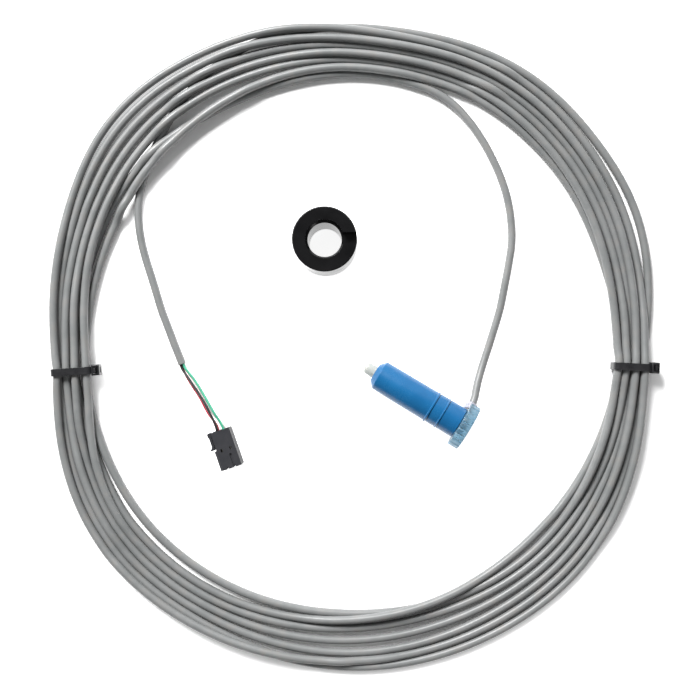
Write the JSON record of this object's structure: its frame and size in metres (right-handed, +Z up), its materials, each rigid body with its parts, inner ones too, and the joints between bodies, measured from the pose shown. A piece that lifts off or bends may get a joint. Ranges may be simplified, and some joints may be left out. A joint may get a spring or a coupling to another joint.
{
  "type": "wired ultrasonic distance probe",
  "caption": "Remote ultrasonic distance probe: round barrel with a clear domed tip and fluted end cap, on a long tied cable ending in a small latching connector, with a loose mounting collar.",
  "frame": {"origin": "on the table plane, under the middle of the box round the probe and the loose collar, inside the loop of cable", "axes": "+Z up from the table, +Y from the probe towards the collar, +X towards the side where the cable leaves the probe"},
  "size_m": [0.303, 0.322, 0.027],
  "materials": {
    "barrel_plastic": "semi-gloss moulded",
    "clear_plastic": "clear moulded",
    "clear_bush": "soft clear",
    "cable_jacket": "satin extruded",
    "tie_nylon": "satin moulded",
    "connector_nylon": "fine moulded",
    "collar_plastic": "fine moulded",
    "wire_black": "satin extruded",
    "wire_red": "satin extruded",
    "wire_white": "satin extruded",
    "wire_green": "satin extruded",
    "seal_rubber": "matte moulded",
    "piezo_ceramic": "fired ceramic",
    "lead_metal": "tinned",
    "board_laminate": "lacquered",
    "chip_resin": "matte moulded",
    "capacitor_case": "satin"
  },
  "bodies": {
    "root": {"probe_barrel": "barrel_plastic", "acoustic_tip": "clear_plastic", "tip_seal": "seal_rubber", "piezo_disc": "piezo_ceramic", "backing_puck": "seal_rubber", "transducer_sleeve": "seal_rubber", "piezo_lead_a": "lead_metal", "piezo_lead_b": "lead_metal", "circuit_board": "board_laminate", "driver_chip": "chip_resin", "receiver_chip": "chip_resin", "step_up_transformer": "piezo_ceramic", "capacitor_a": "capacitor_case", "capacitor_b": "capacitor_case", "inner_wire_black": "wire_black", "inner_wire_red": "wire_red", "inner_wire_white": "wire_white", "inner_wire_green": "wire_green", "end_cap": "clear_plastic", "end_cap_seal": "seal_rubber", "cable_gland": "clear_bush", "cable_sensor_lead": "cable_jacket", "cable_coil": "cable_jacket", "cable_plug_lead": "cable_jacket", "cable_tie_right": "tie_nylon", "cable_tie_left": "tie_nylon", "wire_black": "wire_black", "wire_red": "wire_red", "wire_white": "wire_white", "wire_green": "wire_green", "connector_housing": "connector_nylon", "terminal_black": "lead_metal", "terminal_red": "lead_metal", "terminal_white": "lead_metal", "terminal_green": "lead_metal"},
    "latch": {"connector_latch": "connector_nylon"},
    "collar": {"mounting_collar": "collar_plastic"}
  },
  "joints": [
    {"name": "latch_rock", "type": "hinge", "parent": "root", "child": "latch", "pos_m": [-0.08546, -0.05598, 0.00485], "axis": [0, 0, -1], "range_deg": [0, 6], "stiffness_Nm_per_rad": 0.05},
    {"name": "collar_lift", "type": "slide", "parent": "root", "child": "collar", "axis": [0, 0, 1], "range_m": [0, 0.06]}
  ]
}
